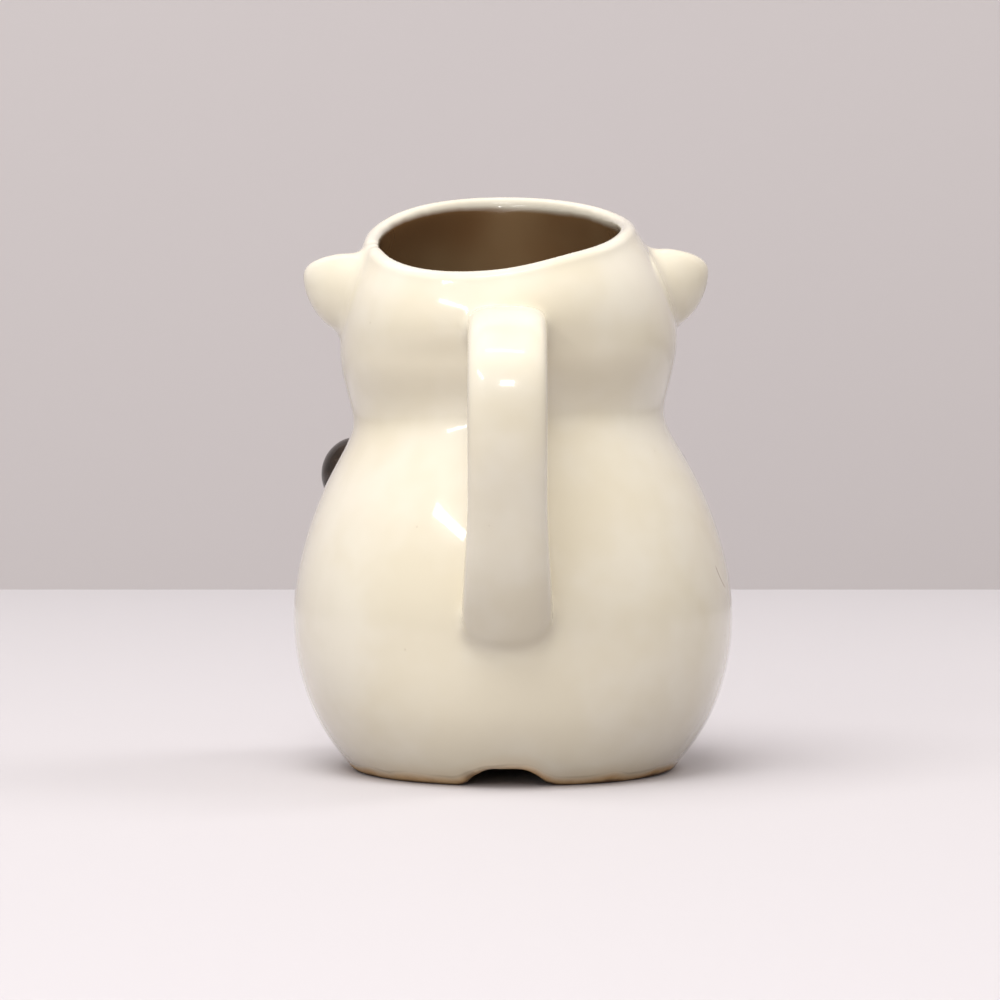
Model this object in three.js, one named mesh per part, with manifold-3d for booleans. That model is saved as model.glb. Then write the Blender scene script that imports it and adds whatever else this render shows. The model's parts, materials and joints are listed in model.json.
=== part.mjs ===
import * as THREE from 'three';
import Module from 'manifold-3d';
import { LoftGeometry } from 'three/addons/geometries/LoftGeometry.js';
import { mergeVertices } from 'three/addons/utils/BufferGeometryUtils.js';

// A cream glazed pig creamer: a hollow slip-cast pig whose luted handle, ears, face and limbs
// stay separate pieces. Millimetres, +Z up. The pig faces -Y, its handle is at +Y and its left side is +X.

// Heights up the body, each counted on from the one below
const bellyHeight = 31;
const bellyToNeck = 40.5;
const neckToHead = 14.5;
const headToRim = 23.2;
const neckHeight = bellyHeight + bellyToNeck;
const headHeight = neckHeight + neckToHead;
const rimHeight = headHeight + headToRim;

// Belly lobe and head lobe at their widest places
const bellyHalfWidth = 45.1;
const bellyBackDepth = 43;
const bellyFrontDepth = 45.5;
const headHalfWidth = 34.6;
const headBackDepth = 32;
const headFrontDepth = 35;

// How far the belly draws in to the foot, and the head to the neck and to the mouth, how far back
// the foot and the mouth reach, how full the lobes are on the way, and how they meet the short neck
const footInset = 12.6;
const footBackDepth = 34.5;
const neckInset = 3;
const mouthInset = 6.6;
const mouthBackDepth = 30.5;
const bellyLowerPowerShare = 2.1;
const bellyUpperPowerShare = 1.8;
const headLowerPowerShare = 1.5;
const neckLength = 4;
const shoulderSoftness = 1.5;
const creaseSoftness = 0.8;
const neckBand = 7;

// The handle and the rear arch lie to the pig's left of the belly's middle. The head leans that way too,
// and it is tilted, down to that side and up to the back
const spineOffset = 1.2;
const headOffset = 0.9;
const headSideSlopeShare = 0.035;
const headBackRiseShare = 0.05;

// Mouth: the rim slopes down to the back and a little to the pig's left, with a soft pouring lip at the front
const wallThickness = 4;
const lipThickness = 3.7;
const rimBackSlopeShare = 0.335;
const rimSideSlopeShare = 0.015;
const rimTwistShare = 0.05;
const mouthOffset = 1.8;
const mouthPowerShare = 2.15;
const pourReach = 3.5;
const pourHeight = 16;
const pourNarrowShare = 12;

// Foot ring, the hollow under the base and the rear arch in the ring
const footRingWidth = 4.8;
const footEdgeRounding = 1;
const baseHollowDepth = 3.5;
const floorThickness = 4.5;
const floorCorner = 6;
const archWidth = 20;
const archTopWidth = 6.4;
const archHeight = 3.6;
const seatGrooveDepth = 1.4;
const seatGrooveWidth = 10;
const seatGrooveHeight = 20;

// Strap handle: it leaves the head, bows out past the neck by the finger gap
// and comes down onto the belly like a tongue
const strapWidth = 15.8;
const strapThickness = 7.4;
const strapLowWidth = 18.4;
const strapLowThickness = 8.6;
const strapCrestRise = 6.2;
const strapCrestStandOut = 9.5;
const strapLowRootDrop = 1.2;
const strapRootInset = 8;
const fingerGap = 21.6;
const strapEdgePowerShare = 2.8;
const strapShoulderShare = 0.62;
const strapBowShare = 0.4;
const strapTurnShare = 0.7;
const strapWideningShares = [0.6, 0.9];

// Ears: root to tip outwards, from the head's widest place up to just below the rim, with a dish in front
const earRootInset = 9.1;
const leftEarStandOut = 7.3;
const rightEarStandOut = 6.5;
const earTopDrop = 3.2;
const earTipDrop = 5.4;
const earThickness = 13;
const earForwardLean = 5;
const earDishDepth = 2.4;
const earDishWidth = 9;
const earDishHeight = 11;
const earDishShare = 0.62;
const earTopPowerShare = 2.4;
const earLowPowerShare = 1.9;
const leftEarDepth = 4;
const rightEarDepth = -3;
const rightEarRaise = 0.8;

// Snout and nostrils
const snoutWidth = 21;
const snoutTallness = 15.5;
const snoutStandOut = 10;
const snoutRootInset = 8;
const snoutDrop = 3.5;
const snoutEdgeRounding = 3;
const snoutPowerShare = 2.3;
const nostrilWidth = 2.8;
const nostrilTallness = 4.4;
const nostrilDepth = 2.2;
const nostrilSpacing = 7.6;

// Eyes
const eyeRadius = 2.3;
const eyeStandOut = 1.3;
const eyeSpacing = 22;
const eyeRise = 9;

// Arms, held up to the shoulders, with a trotter at each end: angles go round from the front
const armRadius = 7.6;
const armStandOut = 6;
const armChestRise = 11;
const armChestAngle = 28;
const trotterDrop = 8.2;
const leftTrotterAngle = 74;
const rightTrotterAngle = 64;
const trotterLength = 9.5;
const trotterSwell = 0.3;

// Cloven feet at the front of the base, just clear of the table
const toeWidth = 20;
const toeLength = 22;
const toeHeight = 13.5;
const toeSpacing = 30;
const toeStandOut = 1;
const toeClearance = 0.6;
const cleftWidth = 1.8;
const cleftDepth = 2.6;

// Gap kept between luted pieces, and how far a cutting form runs past what it cuts
const seatGap = 0.3;
const overrun = 5;

// Mesh steps
const vesselSegments = 46;
const skinRings = { foot: 5, belly: 3, shoulder: 9, neck: 10, head: 8 };
const lipTurns = 7;
const cornerTurns = 4;
const strapSegments = 20;
const strapRings = 32;
const earRings = 16;
const limbSegments = 16;
const limbRings = 8;
const ballSegments = 24;
const ballRings = 12;

const creamGlaze = { color: 0xf0e6cf, roughness: 0.22, metalness: 0 };
const blackGlaze = { color: 0x2b2624, roughness: 0.25, metalness: 0 };

const wasm = await Module();
wasm.setup();

// Booleans: a geometry becomes a solid, and a solid becomes a geometry again
function solidFrom(geometry) {
	const bare = new THREE.BufferGeometry();
	bare.setAttribute('position', geometry.getAttribute('position'));
	bare.setIndex(geometry.getIndex());
	const merged = mergeVertices(bare, seatGap / 1000);
	const corners = merged.getIndex().array;
	const triVerts = [];
	for (let i = 0; i < corners.length; i += 3) {
		const [a, b, c] = corners.slice(i, i + 3);
		// A ring drawn in to a point leaves triangles without an area
		if (a !== b && b !== c && c !== a) triVerts.push(a, b, c);
	}
	return new wasm.Manifold(new wasm.Mesh({
		numProp: 3,
		vertProperties: merged.getAttribute('position').array,
		triVerts: new Uint32Array(triVerts),
	}));
}

function geometryFrom(solid) {
	const mesh = solid.getMesh();
	const geometry = new THREE.BufferGeometry();
	geometry.setAttribute('position', new THREE.BufferAttribute(new Float32Array(mesh.vertProperties), 3));
	geometry.setIndex(new THREE.BufferAttribute(new Uint32Array(mesh.triVerts), 1));
	return geometry;
}

const steps = (from, to, count) => Array.from({ length: count }, (_, i) => from + (to - from) * i / count);
const smooth = (from, to, value) => THREE.MathUtils.smoothstep(value, from, to);
const radians = THREE.MathUtils.degToRad;

// How far a lobe would reach from its widest place, if it has drawn in to a half-width at some distance
function lobeReach(widest, halfWidth, distance, power) {
	return distance / Math.pow(1 - Math.pow(halfWidth / widest, power), 1 / power);
}

// Half-width of a lobe at a height above or below its widest place
function lobeRadius(widest, reach, away, power) {
	const share = Math.min(Math.abs(away) / reach, 1);
	return widest * Math.pow(1 - Math.pow(share, power), 1 / power);
}

const lipBase = rimHeight - lipThickness / 2;
const footHalfWidth = bellyHalfWidth - footInset;
const neckHalfWidth = headHalfWidth - neckInset;
const mouthHalfWidth = headHalfWidth - mouthInset;
const bellyToFlare = bellyToNeck - neckLength / 2;
const neckToFlare = neckToHead - neckLength / 2;
const bellyLowerReach = lobeReach(bellyHalfWidth, footHalfWidth, bellyHeight, bellyLowerPowerShare);
const bellyUpperReach = lobeReach(bellyHalfWidth, neckHalfWidth, bellyToFlare, bellyUpperPowerShare);
const headLowerReach = lobeReach(headHalfWidth, neckHalfWidth, neckToFlare, headLowerPowerShare);
const headUpperReach = lobeReach(headHalfWidth, mouthHalfWidth, lipBase - headHeight, 2);

function bellyRadius(height) {
	const away = height - bellyHeight;
	return away < 0
		? lobeRadius(bellyHalfWidth, bellyLowerReach, away, bellyLowerPowerShare)
		: lobeRadius(bellyHalfWidth, bellyUpperReach, away, bellyUpperPowerShare);
}

function headRadius(height) {
	const away = height - headHeight;
	return away < 0
		? lobeRadius(headHalfWidth, headLowerReach, away, headLowerPowerShare)
		: lobeRadius(headHalfWidth, headUpperReach, away, 2);
}

// The larger of two radii, with the corner between them filled
function softly(one, other, softness) {
	const between = Math.max(0, 1 - Math.abs(one - other) / (2 * softness));
	return Math.max(one, other) + between * between * softness / 2;
}

// The belly flares softly from the neck, and the head stands over it with a crisper crease
function bodyRadius(height) {
	if (height > headHeight) return headRadius(height);
	const shoulder = softly(bellyRadius(height), neckHalfWidth, shoulderSoftness);
	return softly(shoulder, headRadius(height), creaseSoftness);
}

function bodySlope(height) {
	const nudge = wallThickness / 100;
	return (bodyRadius(height + nudge) - bodyRadius(height - nudge)) / (2 * nudge);
}

// The outer profile as radius and height, moved outwards along its own normal by growth
function profilePoint(height, growth) {
	const slope = bodySlope(height);
	const length = Math.hypot(1, slope);
	return new THREE.Vector2(bodyRadius(height) + growth / length, height - growth * slope / length);
}

// A point of the round profile, set to the pig's own depths, a little squarer towards the mouth,
// leaned and tilted with the head, sloped with the rim and drawn out to the pouring lip
function placeOnBody(radius, height, angle) {
	const head = smooth(neckHeight - neckBand, neckHeight + neckBand, height);
	const tilt = smooth(neckHeight - 2 * neckBand, neckHeight, height);
	const lift = smooth(neckHeight, rimHeight, height);
	const mouth = smooth(headHeight, rimHeight, height);
	const square = THREE.MathUtils.lerp(2, mouthPowerShare, lift);
	const corner = Math.pow(Math.abs(Math.cos(angle)), square) + Math.pow(Math.abs(Math.sin(angle)), square);
	const reach = radius * Math.pow(corner, -1 / square);
	const x = reach * Math.cos(angle) + tilt * headOffset + mouth * mouthOffset;
	const roundY = reach * Math.sin(angle);
	const y = roundY * THREE.MathUtils.lerp(...depthShares(roundY, height, mouth), head);
	const headRise = y * headBackRiseShare - x * headSideSlopeShare;
	const rimDrop = y * rimBackSlopeShare + x * (rimSideSlopeShare + rimTwistShare * y / headBackDepth);
	const facing = Math.pow(Math.max(0, -Math.sin(angle)), pourNarrowShare);
	const pour = facing * smooth(rimHeight - pourHeight, rimHeight, height);
	return new THREE.Vector3(x, y - pourReach * pour, height + tilt * headRise - lift * rimDrop);
}

// How much deeper or shallower than round the belly and the head are, in front and at the back
function depthShares(roundY, height, mouth) {
	if (roundY <= 0) return [bellyFrontDepth / bellyHalfWidth, headFrontDepth / headHalfWidth];
	const above = smooth(0, bellyHeight, height);
	return [
		THREE.MathUtils.lerp(footBackDepth / footHalfWidth, bellyBackDepth / bellyHalfWidth, above),
		THREE.MathUtils.lerp(headBackDepth / headHalfWidth, mouthBackDepth / mouthHalfWidth, mouth),
	];
}

// The shallow groove that runs up from the rear arch
function seatGroove(point) {
	if (point.y <= 0) return point;
	const across = Math.exp(-((point.x / seatGrooveWidth) ** 2));
	const up = 1 - smooth(0, seatGrooveHeight, point.z);
	point.y -= seatGrooveDepth * across * up;
	return point;
}

function bodyRing(radius, height) {
	return Array.from({ length: vesselSegments }, (_, i) => {
		const angle = 2 * Math.PI * i / vesselSegments;
		return seatGroove(placeOnBody(radius, height, angle));
	});
}

// Heights of the rings, closest together at the crease
function skinHeights(lowest, highest, coarseness) {
	const count = (most) => Math.ceil(most / coarseness);
	return [
		...steps(lowest, bellyHeight / 2, count(skinRings.foot)),
		...steps(bellyHeight / 2, bellyHeight, count(skinRings.belly)),
		...steps(bellyHeight, neckHeight - neckBand, count(skinRings.shoulder)),
		...steps(neckHeight - neckBand, neckHeight + neckBand, count(skinRings.neck)),
		...steps(neckHeight + neckBand, highest, count(skinRings.head)),
		highest,
	];
}

// The lip is half a round, from the outer wall over to the inner wall
function lipRings(lipOuter, growth, turns) {
	const half = lipThickness / 2;
	return turns.map((turn) => new THREE.Vector2(
		lipOuter.x - half + (half + growth) * Math.cos(turn), lipOuter.y + (half + growth) * Math.sin(turn)));
}

// The foot's edge turns in from the belly's slope to the flat of the ring
function footEdge() {
	const start = new THREE.Vector2(bodyRadius(footEdgeRounding), footEdgeRounding);
	const corner = new THREE.Vector2(start.x - bodySlope(footEdgeRounding) * footEdgeRounding, 0);
	const flatEdge = new THREE.Vector2(corner.x - corner.distanceTo(start), 0);
	return new THREE.QuadraticBezierCurve(flatEdge, corner, start).getPoints(cornerTurns).slice(0, -1);
}

function vesselProfile() {
	const floorHeight = baseHollowDepth + floorThickness;
	const edge = footEdge();
	const hollowInner = edge[0].x - footRingWidth - baseHollowDepth;
	const under = [...steps(0, Math.PI / 2, cornerTurns), Math.PI / 2].map((turn) => new THREE.Vector2(
		hollowInner + baseHollowDepth * Math.sin(turn), baseHollowDepth * Math.cos(turn)));
	const outer = skinHeights(footEdgeRounding, lipBase, 1).map((height) => profilePoint(height, 0));
	const lip = lipRings(outer.at(-1), 0, [...steps(0, Math.PI, lipTurns).slice(1), Math.PI]);
	const hollow = skinHeights(floorHeight + floorCorner, lipBase - lipThickness, 2)
		.map((height) => profilePoint(height, -wallThickness)).reverse();
	const corner = hollow.at(-1);
	const cornerRings = steps(0, Math.PI / 2, cornerTurns).slice(1).map((turn) => new THREE.Vector2(
		corner.x - floorCorner * (1 - Math.cos(turn)), corner.y - (corner.y - floorHeight) * Math.sin(turn)));
	const floor = [new THREE.Vector2(corner.x - floorCorner, floorHeight), new THREE.Vector2(0, floorHeight)];
	const middle = new THREE.Vector2(0, baseHollowDepth);
	return [middle, ...under, ...edge, ...outer, ...lip, ...hollow, ...cornerRings, ...floor];
}

// The body without its hollow, grown by the seat gap: it trims each piece that is luted to the vessel
function trimSolid() {
	const outer = skinHeights(footEdgeRounding, lipBase, 1).map((height) => profilePoint(height, seatGap));
	const lip = lipRings(profilePoint(lipBase, 0), seatGap, steps(0, Math.PI / 2, cornerTurns).slice(1));
	const profile = [new THREE.Vector2(0, 0), new THREE.Vector2(outer[0].x, 0), ...outer, ...lip,
		new THREE.Vector2(0, rimHeight + seatGap)];
	return solidFrom(new LoftGeometry(profile.map((p) => bodyRing(p.x, p.y))));
}

// The rear arch through the foot ring
function archForm() {
	const half = archWidth / 2;
	const top = archTopWidth / 2;
	const outline = new THREE.Shape();
	outline.moveTo(-half, -overrun);
	outline.lineTo(-half, 0);
	outline.bezierCurveTo(-(half + top) / 2, 0, -(half + top) / 2, archHeight, -top / 2, archHeight);
	outline.lineTo(top / 2, archHeight);
	outline.bezierCurveTo((half + top) / 2, archHeight, (half + top) / 2, 0, half, 0);
	outline.lineTo(half, -overrun);
	const form = new THREE.ExtrudeGeometry(outline,
		{ depth: bellyBackDepth, bevelEnabled: false, curveSegments: 2 * cornerTurns });
	form.rotateX(Math.PI / 2);
	form.translate(spineOffset, bellyBackDepth + footHalfWidth / 2, 0);
	return solidFrom(form);
}

function vesselSolid() {
	const rings = vesselProfile().map((p) => bodyRing(p.x, p.y));
	return solidFrom(new LoftGeometry(rings)).subtract(archForm());
}

// A ring of a rounded section: power 2 is an ellipse, and more makes it squarer
function sectionRing(centre, across, up, halfAcross, halfUp, power, segments) {
	return Array.from({ length: segments }, (_, i) => {
		const angle = 2 * Math.PI * i / segments;
		const c = Math.cos(angle);
		const s = Math.sin(angle);
		const a = Math.sign(c) * Math.pow(Math.abs(c), 2 / power) * halfAcross;
		const u = Math.sign(s) * Math.pow(Math.abs(s), 2 / power) * halfUp;
		return centre.clone().addScaledVector(across, a).addScaledVector(up, u);
	});
}

const sideways = new THREE.Vector3(1, 0, 0);
const backwards = new THREE.Vector3(0, 1, 0);
const upwards = new THREE.Vector3(0, 0, 1);

function handleSolid() {
	const backAt = (height) => placeOnBody(bodyRadius(height), height, Math.PI / 2).y;
	const at = (depth, height) => new THREE.Vector3(spineOffset, depth, height);
	const lowRootHeight = bellyHeight - strapLowRootDrop;
	const crestHeight = headHeight + strapCrestRise;
	const highRoot = backAt(headHeight);
	const lowRoot = backAt(lowRootHeight);
	const reach = backAt(neckHeight) + fingerGap + strapThickness / 2;
	const path = new THREE.CatmullRomCurve3([
		at(highRoot - strapRootInset, headHeight),
		at(highRoot + strapThickness / 3, crestHeight - strapThickness / 5),
		at(headBackDepth + strapCrestStandOut, crestHeight),
		at(reach - strapThickness / 3, THREE.MathUtils.lerp(neckHeight, crestHeight, strapShoulderShare)),
		at(reach, neckHeight),
		at(reach - strapThickness / 3, THREE.MathUtils.lerp(neckHeight, lowRootHeight, strapBowShare)),
		at((reach + lowRoot) / 2, THREE.MathUtils.lerp(neckHeight, lowRootHeight, strapTurnShare)),
		at(lowRoot - strapLowThickness / 8, lowRootHeight + strapLowThickness / 4),
		at(lowRoot - strapRootInset, lowRootHeight - strapLowThickness / 2),
	], false, 'centripetal');
	const rings = [...steps(0, 1, strapRings), 1].map((along) => {
		const outward = path.getTangentAt(along).cross(sideways);
		const low = smooth(...strapWideningShares, along);
		const width = THREE.MathUtils.lerp(strapWidth, strapLowWidth, low);
		const thickness = THREE.MathUtils.lerp(strapThickness, strapLowThickness, low);
		return sectionRing(path.getPointAt(along), sideways, outward, width / 2, thickness / 2,
			THREE.MathUtils.lerp(strapEdgePowerShare, 2, low), strapSegments);
	});
	return solidFrom(new LoftGeometry(rings, { capStart: true, capEnd: true })).subtract(trimForm);
}

// How much of a rounded end is left at a share of its length
const closing = (share, power) => Math.pow(Math.max(0, 1 - Math.pow(share, power)), 1 / power);

// An ellipsoid from a unit sphere
function ellipsoid(halfX, halfY, halfZ, centre) {
	const form = new THREE.SphereGeometry(1, ballSegments, ballRings);
	form.scale(halfX, halfY, halfZ);
	form.translate(centre.x, centre.y, centre.z);
	return solidFrom(form);
}

// side is 1 for the pig's left and -1 for its right
function earSolid(side, standOut, depth, raise) {
	const earTop = rimHeight - earTopDrop + raise;
	const earTip = earTop - earTipDrop;
	const earLow = headHeight + raise;
	const earRoot = headHalfWidth - earRootInset;
	const reachAt = (share) => THREE.MathUtils.lerp(earRoot, headHalfWidth + standOut, share);
	const depthAt = (share) => depth - earForwardLean * share * share;
	const rings = [...steps(0, Math.PI / 2, earRings), Math.PI / 2].map((turn) => {
		const share = Math.sin(turn);
		const top = earTip + (earTop - earTip) * closing(share, earTopPowerShare);
		const low = earTip - (earTip - earLow) * closing(share, earLowPowerShare);
		const centre = new THREE.Vector3(headOffset + side * reachAt(share), depthAt(share), (top + low) / 2);
		return sectionRing(centre, backwards.clone().multiplyScalar(side), upwards,
			earThickness / 2 * closing(share, 2), (top - low) / 2, 2, strapSegments);
	});
	const dishFront = depthAt(earDishShare) - earThickness / 2 * closing(earDishShare, 2);
	const dish = ellipsoid(earDishWidth / 2, earDishDepth, earDishHeight / 2,
		new THREE.Vector3(headOffset + side * reachAt(earDishShare), dishFront, (earTop + earLow) / 2));
	return solidFrom(new LoftGeometry(rings, { capStart: true })).subtract(dish).subtract(trimForm);
}

function snoutSolid() {
	const snoutHeight = headHeight - snoutDrop;
	const snoutReach = headFrontDepth + snoutStandOut;
	const straight = snoutReach - snoutEdgeRounding;
	const edge = [...steps(0, Math.PI / 2, cornerTurns), Math.PI / 2].map((turn) => [
		straight + snoutEdgeRounding * Math.sin(turn), snoutEdgeRounding * (1 - Math.cos(turn))]);
	const rings = [[headFrontDepth - snoutRootInset, 0], ...edge, [snoutReach, snoutTallness / 2]];
	const sections = rings.map(([reach, drawnIn]) => {
		const share = 1 - drawnIn / (snoutTallness / 2);
		return sectionRing(new THREE.Vector3(headOffset, -reach, snoutHeight), sideways, upwards,
			snoutWidth / 2 * share, snoutTallness / 2 * share, snoutPowerShare, 2 * limbSegments);
	});
	const nostrils = [-1, 1].map((side) => ellipsoid(nostrilWidth / 2, nostrilDepth, nostrilTallness / 2,
		new THREE.Vector3(headOffset + side * nostrilSpacing / 2, -snoutReach, snoutHeight)));
	const snout = solidFrom(new LoftGeometry(sections, { capStart: true }));
	return snout.subtract(nostrils[0]).subtract(nostrils[1]).subtract(trimForm);
}

// A place on the body's skin: angle goes round from the front towards one side
function skinPlace(side, angle, height, standOut) {
	const turn = -Math.PI / 2 + side * radians(angle);
	const profile = profilePoint(height, standOut);
	return placeOnBody(profile.x, profile.y, turn);
}

function eyeSolid(side) {
	const eyeHeight = headHeight + eyeRise;
	const angle = THREE.MathUtils.radToDeg(Math.asin(eyeSpacing / 2 / bodyRadius(eyeHeight)));
	const centre = skinPlace(side, angle, eyeHeight, 0);
	return ellipsoid(eyeRadius, eyeStandOut + seatGap, eyeRadius, centre).subtract(trimForm);
}

// One limb along the skin from the chest to the tip of its trotter, cut where the dark glaze starts
function limbPath(side, trotterAngle) {
	const chestHeight = bellyHeight + armChestRise;
	const trotterHeight = neckHeight - trotterDrop;
	const places = [...steps(0, 1, limbRings / 2), 1].map((share) => {
		const angle = THREE.MathUtils.lerp(armChestAngle, trotterAngle, share);
		const height = THREE.MathUtils.lerp(chestHeight, trotterHeight, smooth(0, 1, share));
		return skinPlace(side, angle, height, armStandOut - armRadius);
	});
	return new THREE.CatmullRomCurve3(places);
}

function limbSections(path, from, to, swell) {
	const length = path.getLength();
	return [...steps(from, to, limbRings), to].map((along) => {
		const tangent = path.getTangentAt(along);
		const across = new THREE.Vector3().crossVectors(upwards, tangent).normalize();
		const up = new THREE.Vector3().crossVectors(tangent, across);
		const fromEnd = Math.min(along, 1 - along) * length;
		const round = closing(1 - Math.min(1, fromEnd / armRadius), 2);
		const radius = (armRadius + swell) * round;
		return sectionRing(path.getPointAt(along), across, up, radius, radius, 2, limbSegments);
	});
}

function limbSolids(side, trotterAngle) {
	const path = limbPath(side, trotterAngle);
	const length = path.getLength();
	const split = 1 - trotterLength / length;
	const half = seatGap / 2 / length;
	const arm = new LoftGeometry(limbSections(path, 0, split - half, 0), { capEnd: true });
	const trotter = new LoftGeometry(limbSections(path, split + half, 1, trotterSwell), { capStart: true });
	return [arm, trotter].map((form) => solidFrom(form).subtract(trimForm));
}

function toeSolid(side) {
	const toeReach = bellyFrontDepth + toeStandOut;
	const centre = new THREE.Vector3(side * toeSpacing / 2, toeLength / 2 - toeReach, toeHeight / 3);
	const below = new THREE.BoxGeometry(2 * toeWidth, 2 * toeLength, toeHeight);
	below.translate(centre.x, centre.y, toeClearance - toeHeight / 2);
	const cleft = ellipsoid(cleftWidth / 2, cleftDepth, toeHeight / 2,
		new THREE.Vector3(centre.x, -toeReach, centre.z + cleftDepth / 2));
	return ellipsoid(toeWidth / 2, toeLength / 2, toeHeight * 2 / 3, centre)
		.subtract(cleft).subtract(solidFrom(below)).subtract(trimForm);
}

const trimForm = trimSolid();
const [leftArm, leftTrotter] = limbSolids(1, leftTrotterAngle);
const [rightArm, rightTrotter] = limbSolids(-1, rightTrotterAngle);

const pieces = [
	['vessel', vesselSolid(), creamGlaze],
	['handle', handleSolid(), creamGlaze],
	['left_ear', earSolid(1, leftEarStandOut, leftEarDepth, 0), creamGlaze],
	['right_ear', earSolid(-1, rightEarStandOut, rightEarDepth, rightEarRaise), creamGlaze],
	['snout', snoutSolid(), creamGlaze],
	['left_eye', eyeSolid(1), blackGlaze],
	['right_eye', eyeSolid(-1), blackGlaze],
	['left_arm', leftArm, creamGlaze],
	['right_arm', rightArm, creamGlaze],
	['left_trotter', leftTrotter, blackGlaze],
	['right_trotter', rightTrotter, blackGlaze],
	['left_foot', toeSolid(1), blackGlaze],
	['right_foot', toeSolid(-1), blackGlaze],
];

// The pig stands on the origin: it is the middle of the whole pig's box, at the table
const pig = new THREE.Group();
for (const [name, solid, glaze] of pieces) {
	const piece = new THREE.Mesh(geometryFrom(solid), new THREE.MeshStandardMaterial(glaze));
	piece.name = name;
	pig.add(piece);
}
const bounds = new THREE.Box3().setFromObject(pig);
const middle = bounds.getCenter(new THREE.Vector3());
pig.position.set(-middle.x, -middle.y, -bounds.min.z);

const creamer = new THREE.Group();
creamer.add(pig);

export default creamer;
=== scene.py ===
import json
import math

import bpy
import numpy as np
from mathutils import Matrix, Vector
from mathutils.bvhtree import BVHTree

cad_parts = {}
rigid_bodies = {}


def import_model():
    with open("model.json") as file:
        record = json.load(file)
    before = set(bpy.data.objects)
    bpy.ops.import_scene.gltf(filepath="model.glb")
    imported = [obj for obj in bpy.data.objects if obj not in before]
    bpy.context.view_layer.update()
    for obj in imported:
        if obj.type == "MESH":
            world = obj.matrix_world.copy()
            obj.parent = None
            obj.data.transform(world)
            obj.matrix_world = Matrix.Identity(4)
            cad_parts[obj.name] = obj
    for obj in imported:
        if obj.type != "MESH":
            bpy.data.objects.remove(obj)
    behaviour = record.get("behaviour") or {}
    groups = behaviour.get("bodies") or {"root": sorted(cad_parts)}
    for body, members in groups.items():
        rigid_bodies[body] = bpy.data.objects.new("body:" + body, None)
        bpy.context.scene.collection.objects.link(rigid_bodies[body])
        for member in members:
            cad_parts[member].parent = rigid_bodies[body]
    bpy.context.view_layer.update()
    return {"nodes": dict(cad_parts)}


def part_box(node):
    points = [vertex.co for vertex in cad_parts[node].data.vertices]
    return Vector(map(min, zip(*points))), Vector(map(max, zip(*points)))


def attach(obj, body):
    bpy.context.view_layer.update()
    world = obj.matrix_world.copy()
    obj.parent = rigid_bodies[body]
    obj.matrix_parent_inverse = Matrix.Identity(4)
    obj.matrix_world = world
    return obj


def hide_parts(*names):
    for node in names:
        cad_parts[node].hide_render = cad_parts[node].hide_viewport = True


# A slip-cast pig creamer in cream glaze, seen from behind. The pig looks along -Y, its left is +X.
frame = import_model()
mm = 0.001


# Camera: behind the pig, a little above its rim
view = {
    "place": (2.65 * mm, 1043.8 * mm, 118 * mm),
    "pitchDown": 3.437,  # degrees
    "lens": 185.2,
    "sensor": 36,
}


def makeCamera():
    turn = (math.radians(90 - view["pitchDown"]), 0, math.radians(180))
    bpy.ops.object.camera_add(location=view["place"], rotation=turn)
    camera = bpy.context.active_object
    camera.data.lens = view["lens"]
    camera.data.sensor_width = view["sensor"]
    camera.data.clip_start = 0.01
    camera.data.clip_end = 20
    bpy.context.scene.camera = camera


makeCamera()
print("camera ready")


# Helpers for object and edit mode
def pickOnly(*objects):
    if bpy.context.object and bpy.context.object.mode != "OBJECT":
        bpy.ops.object.mode_set(mode="OBJECT")
    bpy.ops.object.select_all(action="DESELECT")
    for each in objects:
        each.select_set(True)
    bpy.context.view_layer.objects.active = objects[0]


def applyModifier(piece, kind, **settings):
    pickOnly(piece)
    bpy.ops.object.modifier_add(type=kind)
    modifier = piece.modifiers[-1]
    for name, value in settings.items():
        setattr(modifier, name, value)
    bpy.ops.object.modifier_apply(modifier=modifier.name)


def pickInEditMode(piece, mode, picked):
    # picked is one truth value for each vertex or face
    pickOnly(piece)
    bpy.ops.object.mode_set(mode="EDIT")
    bpy.ops.mesh.select_mode(type=mode)
    bpy.ops.mesh.select_all(action="DESELECT")
    bpy.ops.object.mode_set(mode="OBJECT")
    items = piece.data.vertices if mode == "VERT" else piece.data.polygons
    items.foreach_set("select", picked)
    bpy.ops.object.mode_set(mode="EDIT")


def readVertices(piece, what="co"):
    values = np.empty(len(piece.data.vertices) * 3)
    piece.data.vertices.foreach_get(what, values)
    return values.reshape(-1, 3)


def treeOf(piece):
    return BVHTree.FromObject(piece, bpy.context.evaluated_depsgraph_get())


def distancesTo(tree, places, farthest):
    found = (tree.find_nearest(Vector(place), farthest) for place in places)
    return np.array([farthest if hit[3] is None else hit[3] for hit in found])


def easeBetween(low, high, values):
    share = np.clip((values - low) / (high - low), 0, 1)
    return share * share * (3 - 2 * share)


# Clay: each cast or pressed piece starts as a merged copy of its solid, rounded by subdivision
clay = {
    "mergeWithin": 0.002 * mm,
    "subdivisions": 2,
    "rootReach": 0.5 * mm,  # a vertex this near its carrier belongs to the piece's root
    "rootSink": 1.3 * mm,   # how far the root is pressed into the carrier
}


def copyNode(nodeName, pieceName):
    pickOnly(frame["nodes"][nodeName])
    bpy.ops.object.duplicate()
    piece = bpy.context.active_object
    piece.name = pieceName
    piece.data.name = pieceName
    for key in list(piece.keys()):
        del piece[key]
    bpy.ops.object.parent_clear(type="CLEAR_KEEP_TRANSFORM")
    piece.data.materials.clear()
    bpy.ops.mesh.customdata_custom_splitnormals_clear()
    bpy.ops.object.mode_set(mode="EDIT")
    bpy.ops.mesh.select_all(action="SELECT")
    bpy.ops.mesh.remove_doubles(threshold=clay["mergeWithin"])
    bpy.ops.mesh.tris_convert_to_quads()
    bpy.ops.mesh.faces_shade_smooth()
    bpy.ops.object.mode_set(mode="OBJECT")
    return piece


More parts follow.
